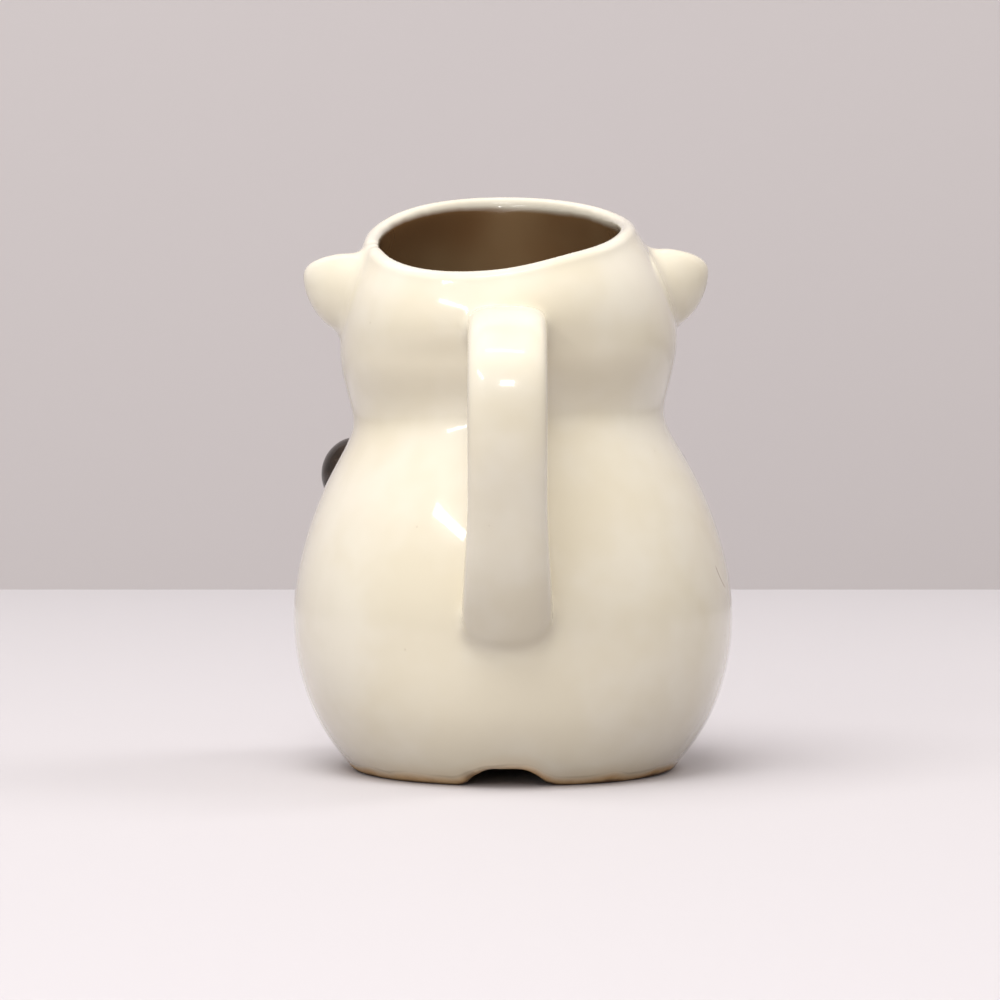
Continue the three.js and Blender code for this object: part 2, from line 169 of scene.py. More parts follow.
def pressRoot(piece, carrierTree):
    # The root face goes into its carrier against the carrier's own normal, which closes the seam
    hits = [carrierTree.find_nearest(Vector(place), clay["rootReach"]) for place in readVertices(piece)]
    touching = [hit[0] is not None for hit in hits]
    if any(touching):
        inward = -sum((hit[1] for hit in hits if hit[0] is not None), Vector()).normalized()
        pickInEditMode(piece, "VERT", touching)
        bpy.ops.transform.translate(value=inward * clay["rootSink"])
        bpy.ops.object.mode_set(mode="OBJECT")


def roundOff(piece):
    applyModifier(piece, "SUBSURF", levels=clay["subdivisions"], render_levels=clay["subdivisions"])


# Node name and the name of the piece that stands for it
creamPieces = {
    "handle": "strapHandle",
    "left_ear": "earLeft",
    "right_ear": "earRight",
    "snout": "snoutPad",
    "left_arm": "armLeft",
    "right_arm": "armRight",
}
blackPieces = {
    "left_trotter": ("trotterLeft", "left_arm"),
    "right_trotter": ("trotterRight", "right_arm"),
    "left_foot": ("footLeft", "vessel"),
    "right_foot": ("footRight", "vessel"),
    "left_eye": ("eyeLeft", "vessel"),
    "right_eye": ("eyeRight", "vessel"),
}

# The rim's near side stands a little higher than in the solid, most at the pig's right
rimRaise = {
    "most": 1.6 * mm,
    "more": 0.8 * mm,
    "morePlace": -11 * mm,
    "moreWidth": 9 * mm,
    "depths": (-22 * mm, 5 * mm),   # from the far side to the near side
    "heights": (85 * mm, 99 * mm),
}


def raiseRim(piece):
    places = readVertices(piece)
    x, y, z = places.T
    aside = (x - rimRaise["morePlace"]) / rimRaise["moreWidth"]
    lift = rimRaise["most"] + rimRaise["more"] * np.exp(-aside * aside)
    places[:, 2] += lift * easeBetween(*rimRaise["depths"], y) * easeBetween(*rimRaise["heights"], z)
    piece.data.vertices.foreach_set("co", places.ravel())
    piece.data.update()


vessel = copyNode("vessel", "vesselForm")
castTrees = {"vessel": treeOf(vessel)}
creamForms = {}
for node in creamPieces:
    creamForms[node] = copyNode(node, node + "Form")
    castTrees[node] = treeOf(creamForms[node])
    pressRoot(creamForms[node], castTrees["vessel"])
    roundOff(creamForms[node])
roundOff(vessel)
raiseRim(vessel)
print("clay forms ready")


# Luting: the cream pieces are fused, their seams are smoothed to fillets, and the rest keeps its own form
luting = {
    "voxel": 0.75 * mm,
    "seamWidth": 1.6 * mm,
    "blendWidth": 5 * mm,
    "seamTurns": 24,
    "evenTurns": 2,
}


def joinCopies(parts, name):
    pickOnly(*parts)
    bpy.ops.object.duplicate()
    bpy.ops.object.join()
    bpy.context.active_object.name = name
    return bpy.context.active_object


def weighVertices(piece, name, weights):
    group = piece.vertex_groups.new(name=name)
    for index in np.flatnonzero(weights):
        group.add([int(index)], float(weights[index]), "REPLACE")


def fuse(parts, forms):
    fused = joinCopies(parts, "creamSkin")
    applyModifier(fused, "REMESH", mode="VOXEL", voxel_size=luting["voxel"], use_smooth_shade=True)
    places = readVertices(fused)
    farthest = 2 * luting["blendWidth"]
    distances = np.array([distancesTo(treeOf(part), places, farthest) for part in parts])
    away = np.maximum(distances[0], distances[1:].min(axis=0))
    ownForm = easeBetween(luting["seamWidth"], luting["blendWidth"], away)
    weighVertices(fused, "ownForm", ownForm)
    weighVertices(fused, "seam", 1 - ownForm)
    toForms = {"target": forms, "wrap_method": "NEAREST_SURFACEPOINT", "vertex_group": "ownForm"}
    applyModifier(fused, "SMOOTH", factor=0.5, iterations=luting["seamTurns"], vertex_group="seam")
    applyModifier(fused, "SHRINKWRAP", **toForms)
    applyModifier(fused, "SMOOTH", factor=0.5, iterations=luting["evenTurns"])
    applyModifier(fused, "SHRINKWRAP", **toForms)
    applyModifier(fused, "DATA_TRANSFER", object=forms, use_loop_data=True,
                  data_types_loops={"CUSTOM_NORMAL"}, loop_mapping="POLYINTERP_NEAREST",
                  vertex_group="ownForm")
    fused.vertex_groups.clear()
    return fused, distances


allForms = joinCopies([vessel, *creamForms.values()], "allForms")
skin, distances = fuse([vessel, *creamForms.values()], allForms)
print("cream skin fused,", len(skin.data.polygons), "faces")


# Glaze readings: where the glaze pools or thins, how deep a point lies inside,
# and how high it stands above the foot
glazeLine = {
    "poolTurns": 40,
    "levelFrom": 0.5,   # a floor faces up at least this much
    "archMiddle": 1.2 * mm,
    "archTopHalf": 3.2 * mm,
    "archHalf": 10 * mm,
    "archHeight": 3.6 * mm,
    "archThinning": 1.3 * mm,  # the bare band is narrower over the arch
    "floorBelow": 20 * mm,
    "ringBelow": 6 * mm,
    "rimSectors": 120,
}


def keepReading(piece, name, values):
    reading = piece.data.attributes.new(name, "FLOAT", "POINT")
    reading.data.foreach_set("value", np.asarray(values, dtype=np.float32))


def readPooling(piece):
    # In mm: above nought in hollows, where glaze gathers, and below nought on edges, where it runs thin
    pickOnly(piece)
    bpy.ops.object.duplicate()
    softened = bpy.context.active_object
    applyModifier(softened, "SMOOTH", factor=0.5, iterations=glazeLine["poolTurns"])
    moved = readVertices(softened) - readVertices(piece)
    bpy.data.objects.remove(softened)
    return (moved * readVertices(piece, "normal")).sum(axis=1) / mm


def readFootHeight(piece):
    # In mm above the foot's edge, which rises over the rear arch
    x, y, z = readVertices(piece).T
    aside = np.abs(x - glazeLine["archMiddle"])
    rise = 1 - easeBetween(glazeLine["archTopHalf"], glazeLine["archHalf"], aside)
    rise *= glazeLine["archHeight"] - glazeLine["archThinning"]
    return (z - np.where(y > 0, rise, 0)) / mm


def turnsRound(places, middle):
    # The way outward from the middle of the mouth, and the turn round it counted in sectors
    outward = places[:, :2] - middle
    turn = np.arctan2(outward[:, 1], outward[:, 0]) / math.tau + 0.5
    return outward, turn * glazeLine["rimSectors"]


def rimHeights(piece, isVessel, middle):
    # The rim's height in each sector round the mouth
    places = readVertices(piece)[isVessel]
    outward, turn = turnsRound(places, middle)
    heights = np.zeros(glazeLine["rimSectors"])
    np.maximum.at(heights, turn.astype(int) % len(heights), places[:, 2])
    return heights


def readInsideDepth(piece, isVessel, middle):
    # In mm below the rim: above nought on the inner wall and below nought elsewhere
    places = readVertices(piece)
    normals = readVertices(piece, "normal")
    outward, turn = turnsRound(places, middle)
    facing = (outward * normals[:, :2]).sum(axis=1)
    inner = (facing < 0) & (places[:, 2] > glazeLine["ringBelow"])
    inner |= (normals[:, 2] > glazeLine["levelFrom"]) & (places[:, 2] < glazeLine["floorBelow"])
    heights = rimHeights(piece, isVessel, middle)
    centres = np.arange(len(heights)) + 0.5
    rim = np.interp(turn, centres, heights, period=len(heights))
    depth = np.maximum(rim - places[:, 2], 0) / mm
    return np.where(inner & isVessel, depth, -depth)


mouthLow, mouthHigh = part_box("vessel")
mouthMiddle = np.array([glazeLine["archMiddle"], (mouthLow.y + mouthHigh.y) / 2])
onVessel = distances[0] < distances[1:].min(axis=0)
keepReading(skin, "pooling", readPooling(skin))
keepReading(skin, "insideDepth", readInsideDepth(skin, onVessel, mouthMiddle))
keepReading(skin, "footHeight", readFootHeight(skin))
print("glaze readings kept")


# Parting: the fused skin is cut at the seams into one closed piece for each part, and the whole
# skin's normals are kept, so that no seam shows
parting = {
    "rootDepth": 0.6 * mm,   # how far the cut edge turns into the clay
    "innerFrom": 7,          # mm below the rim, where the inner wall may be coarser
    "keptShare": 0.62,
}


def readCorners(mesh):
    corners = np.empty(len(mesh.loops), dtype=np.int32)
    mesh.loops.foreach_get("vertex_index", corners)
    starts = np.empty(len(mesh.polygons), dtype=np.int32)
    mesh.polygons.foreach_get("loop_start", starts)
    return corners, starts


def keepSharedNormals(piece):
    mesh = piece.data
    corners, starts = readCorners(mesh)
    cornerNormals = np.empty(len(corners) * 3, dtype=np.float32)
    mesh.corner_normals.foreach_get("vector", cornerNormals)
    normals = np.zeros((len(mesh.vertices), 3))
    np.add.at(normals, corners, cornerNormals.reshape(-1, 3))
    normals /= np.linalg.norm(normals, axis=1, keepdims=True)
    shared = mesh.attributes.new("sharedNormal", "FLOAT_VECTOR", "POINT")
    shared.data.foreach_set("vector", normals.astype(np.float32).ravel())


def partSkin():
    keepSharedNormals(skin)
    pickOnly(skin)
    bpy.ops.mesh.customdata_custom_splitnormals_clear()
    corners, starts = readCorners(skin.data)
    faceDistances = np.add.reduceat(distances[:, corners], starts, axis=1)
    owner = skin.data.attributes.new("owner", "INT", "FACE")
    owner.data.foreach_set("value", faceDistances.argmin(axis=0).astype(np.int32))
    pieces = {}
    for index, (node, name) in enumerate(creamPieces.items(), start=1):
        owners = np.empty(len(skin.data.polygons), dtype=np.int32)
        skin.data.attributes["owner"].data.foreach_get("value", owners)
        pickInEditMode(skin, "FACE", owners == index)
        bpy.ops.mesh.separate(type="SELECTED")
        bpy.ops.object.mode_set(mode="OBJECT")
        piece = next(each for each in bpy.context.selected_objects if each != skin)
        piece.name = name
        piece.data.name = name
        pieces[node] = piece
    skin.name = "creamVessel"
    skin.data.name = "creamVessel"
    pieces["vessel"] = skin
    return pieces


def readShared(mesh):
    shared = np.empty(len(mesh.vertices) * 3, dtype=np.float32)
    mesh.attributes["sharedNormal"].data.foreach_get("vector", shared)
    return shared.reshape(-1, 3)


def coarsenInside(piece):
    depth = np.empty(len(piece.data.vertices), dtype=np.float32)
    piece.data.attributes["insideDepth"].data.foreach_get("value", depth)
    weighVertices(piece, "inner", (depth > parting["innerFrom"]).astype(float))
    applyModifier(piece, "DECIMATE", ratio=parting["keptShare"], vertex_group="inner")
    piece.vertex_groups.clear()


def closeRoots(piece):
    # Each cut edge turns into the clay and is filled there. The visible faces keep the whole
    # skin's normals.
    mesh = piece.data
    openFaces = len(mesh.polygons)
    pickOnly(piece)
    bpy.ops.object.mode_set(mode="EDIT")
    bpy.ops.mesh.select_mode(type="EDGE")
    bpy.ops.mesh.select_all(action="DESELECT")
    bpy.ops.mesh.select_non_manifold(extend=False, use_wire=False, use_multi_face=False,
                                     use_non_contiguous=False, use_verts=False)
    bpy.ops.mesh.mark_sharp()
    bpy.ops.mesh.extrude_edges_move()
    bpy.ops.object.mode_set(mode="OBJECT")
    turned = np.empty(len(mesh.vertices), dtype=bool)
    mesh.vertices.foreach_get("select", turned)
    places = readVertices(piece)
    places[turned] -= readShared(mesh)[turned] * parting["rootDepth"]
    mesh.vertices.foreach_set("co", places.ravel())
    mesh.update()
    bpy.ops.object.mode_set(mode="EDIT")
    bpy.ops.mesh.fill_holes(sides=0)
    bpy.ops.mesh.quads_convert_to_tris()
    bpy.ops.mesh.select_all(action="DESELECT")
    bpy.ops.object.mode_set(mode="OBJECT")
    corners, starts = readCorners(mesh)
    cornerNormals = readShared(mesh)[corners]
    cornerNormals[starts[openFaces]:] = 0
    mesh.normals_split_custom_set(cornerNormals.tolist())
    mesh.attributes.remove(mesh.attributes["sharedNormal"])
    mesh.attributes.remove(mesh.attributes["owner"])
    print(piece.name, len(mesh.polygons), "faces,", len(mesh.polygons) - openFaces, "in the root")


dressed = partSkin()
coarsenInside(dressed["vessel"])
for piece in dressed.values():
    closeRoots(piece)
for form in (allForms, vessel, *creamForms.values()):
    bpy.data.objects.remove(form)


# Black-glazed pieces: trotters, toes and eyes, pressed on with a crisp edge
for node, (name, carrier) in blackPieces.items():
    piece = copyNode(node, name)
    for carrierName in {"vessel", carrier}:
        pressRoot(piece, castTrees[carrierName])
    roundOff(piece)
    keepReading(piece, "pooling", readPooling(piece))
    dressed[node] = piece
print("black pieces ready")


# Shader helpers
def addNode(nodes, kind, place, **values):
    node = nodes.new(kind)
    node.location = place
    for name, value in values.items():
        setattr(node, name, value)
    return node


def startGroup(name, inputs, outputs):
    group = bpy.data.node_groups.new(name, "ShaderNodeTree")
    for socketName, kind, default in inputs:
        socket = group.interface.new_socket(socketName, in_out="INPUT", socket_type=kind)
        socket.default_value = default
    for socketName, kind in outputs:
        group.interface.new_socket(socketName, in_out="OUTPUT", socket_type=kind)
    entry = addNode(group.nodes, "NodeGroupInput", (-900, 0))
    leave = addNode(group.nodes, "NodeGroupOutput", (700, 0))
    return group, entry, leave


def mixColours(tree, place, share, under, over):
    # share, under and over are sockets or plain values
    mix = addNode(tree.nodes, "ShaderNodeMix", place, data_type="RGBA")
    for socket, value in ((mix.inputs[0], share), (mix.inputs[6], under), (mix.inputs[7], over)):
        if isinstance(value, bpy.types.NodeSocket):
            tree.links.new(value, socket)
        else:
            socket.default_value = value
    return mix.outputs[2]


def mapped(tree, place, value, low, high, toLow=0.0, toHigh=1.0):
    ramp = addNode(tree.nodes, "ShaderNodeMapRange", place, interpolation_type="SMOOTHSTEP")
    tree.links.new(value, ramp.inputs["Value"])
    for name, number in (("From Min", low), ("From Max", high), ("To Min", toLow), ("To Max", toHigh)):
        ramp.inputs[name].default_value = number
    return ramp.outputs["Result"]


def math2(tree, place, operation, first, second=0.0):
    node = addNode(tree.nodes, "ShaderNodeMath", place, operation=operation)
    for socket, value in zip(node.inputs, (first, second)):
        if isinstance(value, bpy.types.NodeSocket):
            tree.links.new(value, socket)
        else:
            socket.default_value = value
    return node.outputs[0]


def noise(tree, place, vector, scale, detail=2.0, roughness=0.5):
    texture = addNode(tree.nodes, "ShaderNodeTexNoise", place)
    tree.links.new(vector, texture.inputs["Vector"])
    texture.inputs["Scale"].default_value = scale
    texture.inputs["Detail"].default_value = detail
    texture.inputs["Roughness"].default_value = roughness
    return texture.outputs["Fac"]


def reading(tree, place, name):
    # A glaze reading that was kept on the mesh
    return addNode(tree.nodes, "ShaderNodeAttribute", place, attribute_name=name).outputs["Fac"]


# Glaze ripple: orange peel a millimetre or so wide, on slower waves
def makeRippleGroup():
    group, entry, leave = startGroup("glazeRipple", [
        ("Peel", "NodeSocketFloat", 1.0),
        ("Waves", "NodeSocketFloat", 1.0),
    ], [("Height", "NodeSocketFloat")])
    where = addNode(group.nodes, "ShaderNodeTexCoord", (-900, -200)).outputs["Object"]
    peel = noise(group, (-650, 100), where, 620, 1.5, 0.4)
    waves = noise(group, (-650, -150), where, 95, 2.0, 0.45)
    finePart = math2(group, (-400, 100), "MULTIPLY", peel, entry.outputs["Peel"])
    wavePart = math2(group, (-400, -150), "MULTIPLY", waves, entry.outputs["Waves"])
    group.links.new(math2(group, (-150, 0), "ADD", finePart, wavePart), leave.inputs["Height"])
    return group


# Glaze specks: sparse pinholes and iron specks, a third of a millimetre across
def makeSpeckGroup():
    group, entry, leave = startGroup("glazeSpecks", [
        ("Share", "NodeSocketFloat", 0.1),
    ], [("Mask", "NodeSocketFloat")])
    where = addNode(group.nodes, "ShaderNodeTexCoord", (-900, -200)).outputs["Object"]
    cells = addNode(group.nodes, "ShaderNodeTexVoronoi", (-650, 0))
    group.links.new(where, cells.inputs["Vector"])
    cells.inputs["Scale"].default_value = 420
    split = addNode(group.nodes, "ShaderNodeSeparateColor", (-400, -150))
    group.links.new(cells.outputs["Color"], split.inputs[0])
    dot = mapped(group, (-400, 100), cells.outputs["Distance"], 0.05, 0.16, 1.0, 0.0)
    chosen = math2(group, (-200, -150), "LESS_THAN", split.outputs[0], entry.outputs["Share"])
    group.links.new(math2(group, (50, 0), "MULTIPLY", dot, chosen), leave.inputs["Mask"])
    return group


# Glaze depth: where it gathers in hollows and where it breaks thin over edges
def makeDepthGroup():
    group, entry, leave = startGroup("glazeDepth", [
        ("Gather At", "NodeSocketFloat", 0.5),
        ("Break At", "NodeSocketFloat", 0.5),
    ], [("Gathered", "NodeSocketFloat"), ("Broken", "NodeSocketFloat")])
    pooling = reading(group, (-900, 150), "pooling")
    where = addNode(group.nodes, "ShaderNodeTexCoord", (-900, -200)).outputs["Object"]
    waves = noise(group, (-650, -200), where, 160, 3.0, 0.6)
    wander = mapped(group, (-450, -200), waves, 0.3, 0.7, 0.6, 1.4)
    uneven = math2(group, (-250, 50), "MULTIPLY", pooling, wander)
    gathered = math2(group, (0, 150), "DIVIDE", uneven, entry.outputs["Gather At"])
    breakAt = math2(group, (-250, -150), "MULTIPLY", entry.outputs["Break At"], -1.0)
    broken = math2(group, (0, -100), "DIVIDE", uneven, breakAt)
    group.links.new(mapped(group, (250, 150), gathered, 0.0, 1.0), leave.inputs["Gathered"])
    group.links.new(mapped(group, (250, -100), broken, 0.0, 1.0), leave.inputs["Broken"])
    return group


rippleGroup = makeRippleGroup()
speckGroup = makeSpeckGroup()
depthGroup = makeDepthGroup()


def placeGroup(tree, group, place, **values):
    node = addNode(tree.nodes, "ShaderNodeGroup", place, node_tree=group)
    for name, value in values.items():
        node.inputs[name.replace("_", " ")].default_value = value
    return node


# Cream glaze over pale clay: bare tan foot, brown glaze inside
creamLook = {
    "light": (0.850, 0.790, 0.655, 1),
    "deep": (0.800, 0.725, 0.560, 1),
    "pooled": (0.735, 0.655, 0.500, 1),
    "pooledShare": 0.75,
    "stained": (0.740, 0.575, 0.370, 1),
    "thin": (0.865, 0.808, 0.690, 1),
    "thinShare": 0.4,
    "speck": (0.360, 0.245, 0.140, 1),
    "speckShare": 0.15,
    "clay": (0.690, 0.470, 0.245, 1),
    "clayDark": (0.590, 0.370, 0.180, 1),
    "footLine": (0.330, 0.215, 0.100, 1),
    "footEdge": (0.100, 0.045, 0.028, 1),
    "scuff": (0.300, 0.190, 0.110, 1),
    "rimInsideShade": (0.540, 0.495, 0.400, 1),
    "inside": (0.165, 0.080, 0.031, 1),
    "insidePale": (0.245, 0.160, 0.080, 1),
    "insideFrom": 1.8,   # mm below the rim where the brown starts
    "insideFull": 3.3,
    "insideShadowLean": 0.05,  # how much higher it starts for each mm to the pig's left, which paints the edge of the near rim's shadow
    "insideWander": 0.25,
    "rimShadeFrom": 0.1,      # mm below the rim where the painted shade on its inner side starts
    "rimShadeFull": 1.4,
    "footWander": 0.4,
    "bareFrom": 0.7,     # mm above the foot's edge up to which no glaze is left
    "bareTo": 2.0,       # mm above the foot's edge up to which it was wiped
    "lineWidth": 0.6,    # the brown line where the glaze ends
    "contactShadeTo": 0.9,       # mm above the foot's edge up to which painted contact shade darkens it
    "stainTo": 5.0,
    "roughness": 0.20,
    "clayRoughness": 0.75,
}


# One hairline scuff on the back of the belly, low at the pig's right
scuff = {
    "middle": (-41.8 * mm, 0, 40.1 * mm),
    "along": (0.41, 0, 0.91),
    "across": (0.91, 0, -0.41),
    "halfLength": 3.0 * mm,
    "halfWidth": 0.14 * mm,
    "bow": 16,  # per metre
    "opacity": 0.7,
}


def makeScuff(tree, where):
    moved = addNode(tree.nodes, "ShaderNodeVectorMath", (-1650, 700), operation="SUBTRACT")
    tree.links.new(where, moved.inputs[0])
    moved.inputs[1].default_value = scuff["middle"]
    parts = {}
    for index, name in enumerate(("along", "across")):
        dot = addNode(tree.nodes, "ShaderNodeVectorMath", (-1450, 700 - 150 * index), operation="DOT_PRODUCT")
        tree.links.new(moved.outputs["Vector"], dot.inputs[0])
        dot.inputs[1].default_value = scuff[name]
        parts[name] = dot.outputs["Value"]
    square = math2(tree, (-1250, 700), "MULTIPLY", parts["along"], parts["along"])
    bow = math2(tree, (-1150, 650), "MULTIPLY", square, scuff["bow"])
    bowed = math2(tree, (-1050, 600), "ADD", parts["across"], bow)
    aside = math2(tree, (-900, 600), "ABSOLUTE", bowed)
    narrow = mapped(tree, (-750, 600), aside, 0.0, scuff["halfWidth"], scuff["opacity"], 0.0)
    short = mapped(tree, (-750, 750), math2(tree, (-900, 750), "ABSOLUTE", parts["along"]),
                   0.6 * scuff["halfLength"], scuff["halfLength"], 1.0, 0.0)
    # The same place on the front of the belly stays clean
    behind = addNode(tree.nodes, "ShaderNodeSeparateXYZ", (-1450, 400))
    tree.links.new(where, behind.inputs[0])
    onBack = math2(tree, (-1250, 400), "GREATER_THAN", behind.outputs["Y"], 0.0)
    mark = math2(tree, (-550, 650), "MULTIPLY", narrow, short)
    return math2(tree, (-400, 600), "MULTIPLY", mark, onBack)


def makeCreamGlaze():
    look = creamLook
    material = bpy.data.materials.new("creamGlaze")
    material.use_nodes = True
    tree = material.node_tree
    shader = tree.nodes["Principled BSDF"]
    where = addNode(tree.nodes, "ShaderNodeTexCoord", (-1900, 0)).outputs["Object"]
    clouds = mapped(tree, (-1450, 300), noise(tree, (-1650, 300), where, 38, 3.0, 0.55), 0.35, 0.65)
    depth = placeGroup(tree, depthGroup, (-1450, 0), Gather_At=0.55, Break_At=0.8)
    specks = placeGroup(tree, speckGroup, (-1450, -200), Share=0.012)
    colour = mixColours(tree, (-1200, 300), clouds, look["light"], look["deep"])
    for step, (mask, share, tone) in enumerate((
            (depth.outputs["Gathered"], look["pooledShare"], "pooled"),
            (depth.outputs["Broken"], look["thinShare"], "thin"),
            (specks.outputs["Mask"], look["speckShare"], "speck"))):
        part = math2(tree, (-1200, 50 - 100 * step), "MULTIPLY", mask, share)
        colour = mixColours(tree, (-1000 + 200 * step, 250 - 50 * step), part, colour, look[tone])

    # Brown glaze was poured inside, and its edge wanders a little below the rim, higher at the pig's left,
    # where it also paints the edge of the near rim's shadow. The rim's inner side has painted shade, darker
    # than the cream.
    inside = reading(tree, (-1900, -400), "insideDepth")
    aside = addNode(tree.nodes, "ShaderNodeSeparateXYZ", (-1900, -550))
    tree.links.new(where, aside.inputs[0])
    # The brown is real glaze, but its lean to the pig's left paints the edge of the near rim's shadow on the
    # inner wall
    toLeft = math2(tree, (-1800, -650), "MAXIMUM", aside.outputs["X"], 0.0)
    shadowLean = math2(tree, (-1700, -550), "MULTIPLY", toLeft, look["insideShadowLean"] / mm)
    edgeWaves = noise(tree, (-1650, -750), where, 70, 1.5, 0.45)
    wander = mapped(tree, (-1450, -600), edgeWaves, 0.3, 0.7, -look["insideWander"], look["insideWander"])
    shadowLeaned = math2(tree, (-1350, -500), "ADD", inside, shadowLean)
    wandered = math2(tree, (-1250, -450), "ADD", shadowLeaned, wander)
    brown = mapped(tree, (-1050, -450), wandered, look["insideFrom"], look["insideFull"])
    patches = mapped(tree, (-1050, -650), noise(tree, (-1250, -650), where, 34, 1.5, 0.5), 0.40, 0.72)
    insideColour = mixColours(tree, (-800, -550), patches, look["inside"], look["insidePale"])
    # painted shade on the rim's inner side, darker than the cream
    rimShadeShare = mapped(tree, (-1050, -300), inside, look["rimShadeFrom"], look["rimShadeFull"])
    colour = mixColours(tree, (-500, 50), rimShadeShare, colour, look["rimInsideShade"])
    colour = mixColours(tree, (-400, 0), brown, colour, insideColour)

    # The foot is wiped bare, with a faint brown line and a stain above it, and painted contact shade at its
    # edge
    foot = reading(tree, (-1900, -900), "footHeight")
    footWaves = noise(tree, (-1650, -1000), where, 90, 2.5, 0.5)
    footWander = mapped(tree, (-1450, -1000), footWaves, 0.3, 0.7, -look["footWander"], look["footWander"])
    uneven = math2(tree, (-1250, -900), "ADD", foot, footWander)
    bare = mapped(tree, (-1050, -850), uneven, look["bareFrom"], look["bareTo"] + 0.5, 1.0, 0.0)
    # painted contact shade: near black over the lowest part of the foot, where it meets the floor
    contactShade = mapped(tree, (-1050, -1550), uneven, 0.1, look["contactShadeTo"], 1.0, 0.0)
    stain = mapped(tree, (-1050, -1050), uneven, look["bareTo"], look["stainTo"], 1.0, 0.0)
    lineTop = look["bareTo"] + look["lineWidth"]
    lineRise = mapped(tree, (-1050, -1350), uneven, look["bareTo"] - 0.3, look["bareTo"] + 0.1)
    lineFall = mapped(tree, (-1050, -1450), uneven, look["bareTo"] + 0.1, lineTop, 1.0, 0.0)
    patchy = mapped(tree, (-1050, -1650), noise(tree, (-1250, -1650), where, 45, 2.0, 0.5), 0.45, 0.65)
    wholeLine = math2(tree, (-900, -1500), "MULTIPLY", lineRise, lineFall)
    line = math2(tree, (-800, -1400), "MULTIPLY", wholeLine, patchy)
    clayTone = mapped(tree, (-1050, -1250), noise(tree, (-1250, -1250), where, 420, 4.0, 0.6), 0.3, 0.7)
    clayColour = mixColours(tree, (-800, -1150), clayTone, look["clayDark"], look["clay"])
    stainShare = math2(tree, (-800, -950), "MULTIPLY", stain, 0.35)
    lineShare = math2(tree, (-600, -1400), "MULTIPLY", line, 0.35)
    contactShadeShare = math2(tree, (-600, -1550), "MULTIPLY", contactShade, 0.8)
    colour = mixColours(tree, (-200, 0), stainShare, colour, look["stained"])
    colour = mixColours(tree, (0, 0), bare, colour, clayColour)
    colour = mixColours(tree, (150, 0), lineShare, colour, look["footLine"])
    colour = mixColours(tree, (300, 0), contactShadeShare, colour, look["footEdge"])
    colour = mixColours(tree, (450, 0), makeScuff(tree, where), colour, look["scuff"])
    tree.links.new(colour, shader.inputs["Base Color"])

    glazed = math2(tree, (-200, -300), "SUBTRACT", 1.0, bare)
    tree.links.new(glazed, shader.inputs["Coat Weight"])
    gloss = addNode(tree.nodes, "ShaderNodeMapRange", (0, -300))
    tree.links.new(bare, gloss.inputs["Value"])
    gloss.inputs["To Min"].default_value = look["roughness"]
    gloss.inputs["To Max"].default_value = look["clayRoughness"]
    tree.links.new(gloss.outputs["Result"], shader.inputs["Roughness"])
    shader.inputs["Coat Roughness"].default_value = 0.045
    shader.inputs["Coat IOR"].default_value = 1.5
    shader.inputs["IOR"].default_value = 1.45
    shader.inputs["Subsurface Weight"].default_value = 0

    ripple = placeGroup(tree, rippleGroup, (-400, -700), Peel=0.12, Waves=1.0)
    grit = math2(tree, (-200, -900), "MULTIPLY", bare, noise(tree, (-400, -1000), where, 1500, 3.0, 0.7))
    pits = math2(tree, (-200, -1100), "MULTIPLY", specks.outputs["Mask"], -0.25)
    roughPart = math2(tree, (-50, -950), "ADD", grit, pits)
    height = math2(tree, (0, -800), "ADD", ripple.outputs["Height"], roughPart)
    bump = addNode(tree.nodes, "ShaderNodeBump", (200, -700))
    bump.inputs["Strength"].default_value = 0.5
    bump.inputs["Distance"].default_value = 0.12 * mm
    tree.links.new(height, bump.inputs["Height"])
    tree.links.new(bump.outputs["Normal"], shader.inputs["Normal"])
    return material


# Brown-black glaze, which breaks brown where it runs thin over an edge
blackLook = {
    "glaze": (0.012, 0.010, 0.009, 1),
    "warm": (0.030, 0.020, 0.014, 1),
    "broken": (0.090, 0.045, 0.022, 1),
    "roughness": 0.16,
}


def makeBlackGlaze():
    look = blackLook
    material = bpy.data.materials.new("blackGlaze")
    material.use_nodes = True
    tree = material.node_tree
    shader = tree.nodes["Principled BSDF"]
    where = addNode(tree.nodes, "ShaderNodeTexCoord", (-1400, 0)).outputs["Object"]
    clouds = mapped(tree, (-950, 200), noise(tree, (-1150, 200), where, 210, 4.0, 0.6), 0.35, 0.7)
    depth = placeGroup(tree, depthGroup, (-950, -50), Gather_At=0.5, Break_At=0.9)
    colour = mixColours(tree, (-700, 150), clouds, look["glaze"], look["warm"])
    colour = mixColours(tree, (-450, 100), math2(tree, (-700, -50), "MULTIPLY", depth.outputs["Broken"], 0.7),
                        colour, look["broken"])
    tree.links.new(colour, shader.inputs["Base Color"])
    gloss = mapped(tree, (-700, -250), clouds, 0.0, 1.0, look["roughness"], look["roughness"] + 0.12)
    tree.links.new(gloss, shader.inputs["Roughness"])
    shader.inputs["Coat Weight"].default_value = 0.2
    shader.inputs["Coat Roughness"].default_value = 0.08
    shader.inputs["Specular IOR Level"].default_value = 0.25
    ripple = placeGroup(tree, rippleGroup, (-700, -450), Peel=0.25, Waves=1.0)
    bump = addNode(tree.nodes, "ShaderNodeBump", (-450, -400))
    bump.inputs["Strength"].default_value = 0.6
    bump.inputs["Distance"].default_value = 0.15 * mm
    tree.links.new(ripple.outputs["Height"], bump.inputs["Height"])
    tree.links.new(bump.outputs["Normal"], shader.inputs["Normal"])
    return material


creamGlaze = makeCreamGlaze()
blackGlaze = makeBlackGlaze()
for node, piece in dressed.items():
    piece.data.materials.clear()
    piece.data.materials.append(blackGlaze if node in blackPieces else creamGlaze)
    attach(piece, "root")
    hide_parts(node)
print("glazes on")


# Stage: a plain pale floor that meets a plain pale wall
stage = {
    "wallPlace": -478 * mm,
    "reach": 4,  # metres across
    "wallTone": (0.614, 0.570, 0.568, 1),
    "floorTone": (0.627, 0.594, 0.607, 1),
    "passedOn": 0.5,  # share of the tone that the stage throws back onto the pig
}


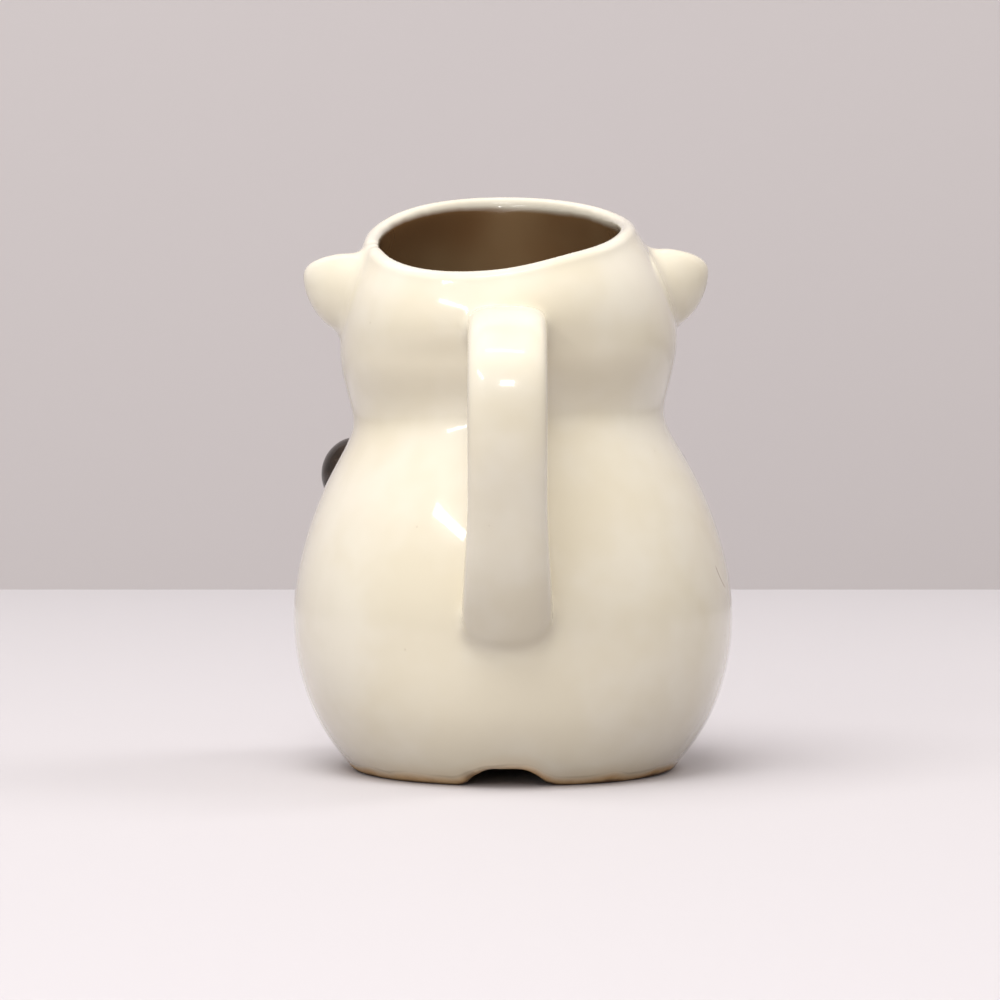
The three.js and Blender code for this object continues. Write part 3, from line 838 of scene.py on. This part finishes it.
def plainTone(name, tone):
    material = bpy.data.materials.new(name)
    material.use_nodes = True
    tree = material.node_tree
    shader = tree.nodes["Principled BSDF"]
    path = addNode(tree.nodes, "ShaderNodeLightPath", (-800, 0))
    seen = math2(tree, (-550, 0), "MAXIMUM", path.outputs["Is Camera Ray"], path.outputs["Is Glossy Ray"])
    seen = math2(tree, (-400, 0), "MAXIMUM", seen, path.outputs["Is Transmission Ray"])
    bounced = [stage["passedOn"] * part for part in tone[:3]] + [1]
    tree.links.new(mixColours(tree, (-200, 0), seen, bounced, tone), shader.inputs["Base Color"])
    shader.inputs["Roughness"].default_value = 0.6
    shader.inputs["Specular IOR Level"].default_value = 0.15
    return material


def openBack(material):
    # A camera behind the wall looks through it
    tree = material.node_tree
    facing = addNode(tree.nodes, "ShaderNodeNewGeometry", (0, 500))
    path = addNode(tree.nodes, "ShaderNodeLightPath", (0, 300))
    clear = addNode(tree.nodes, "ShaderNodeBsdfTransparent", (300, -300))
    blend = addNode(tree.nodes, "ShaderNodeMixShader", (600, 200))
    share = math2(tree, (250, 450), "MULTIPLY", facing.outputs["Backfacing"], path.outputs["Is Camera Ray"])
    tree.links.new(share, blend.inputs["Fac"])
    tree.links.new(tree.nodes["Principled BSDF"].outputs["BSDF"], blend.inputs[1])
    tree.links.new(clear.outputs["BSDF"], blend.inputs[2])
    tree.links.new(blend.outputs["Shader"], tree.nodes["Material Output"].inputs["Surface"])


def makeStage():
    reach = stage["reach"]
    bpy.ops.mesh.primitive_plane_add(size=reach, location=(0, stage["wallPlace"] + reach / 2, 0))
    floor = bpy.context.active_object
    floor.name = "floor"
    floor.data.materials.append(plainTone("floorTone", stage["floorTone"]))
    turn = (math.radians(-90), 0, 0)
    bpy.ops.mesh.primitive_plane_add(size=reach, location=(0, stage["wallPlace"], reach / 2), rotation=turn)
    wall = bpy.context.active_object
    wall.name = "wall"
    wall.data.materials.append(plainTone("wallTone", stage["wallTone"]))
    openBack(wall.data.materials[0])


makeStage()


# Light: a broad soft lamp overhead, a fill from the camera's side, a weaker lamp beyond the pig's
# right, and small lamps whose reflections show on the glaze
lampAim = Vector((0, 0, 55 * mm))


def addLamp(name, place, across, size, power, seenInGlaze=True):
    # across is the direction of the lamp's long side
    place = Vector(place)
    back = (place - lampAim).normalized()
    side = Vector(across)
    side = (side - back * side.dot(back)).normalized()
    up = back.cross(side)
    bpy.ops.object.light_add(type="AREA", location=(0, 0, 0))
    lamp = bpy.context.active_object
    lamp.name = name
    lamp.data.shape = "RECTANGLE"
    lamp.data.size, lamp.data.size_y = size
    lamp.data.energy = power
    lamp.matrix_world = Matrix.Translation(place) @ Matrix((side, up, back)).transposed().to_4x4()
    lamp.visible_glossy = seenInGlaze
    return lamp


addLamp("overhead", (0.387, 0.360, 1.564), (0.9, -0.43, -0.13), (1.45, 1.05), 22.8, seenInGlaze=False)
addLamp("lowFill", (0.400, 1.493, 0.469), (1, 0, 0), (0.9, 0.9), 4.8, seenInGlaze=False)
addLamp("farSide", (-0.966, -0.352, 1.281), (0, 1, 0), (0.7, 0.7), 8.6, seenInGlaze=False)
addLamp("windowStrip", (0.822, 1.030, 0.920), (0.381, -0.428, 0.147), (0.56, 0.09), 1.9)
addLamp("smallLamp", (0.0, 1.42, 0.77), (1, 0, 0), (0.19, 0.14), 1.5)
addLamp("ceilingStrip", (0.08, 0.54, 1.56), (1, -0.15, 0), (0.75, 0.10), 1.1)


def makeWorld():
    scene = bpy.context.scene
    scene.world = scene.world or bpy.data.worlds.new("studio")
    scene.world.use_nodes = True
    background = scene.world.node_tree.nodes["Background"]
    background.inputs["Color"].default_value = (1.0, 0.945, 0.925, 1)
    background.inputs["Strength"].default_value = 0.525
    scene.view_settings.view_transform = "Standard"


makeWorld()
print("stage and light ready")
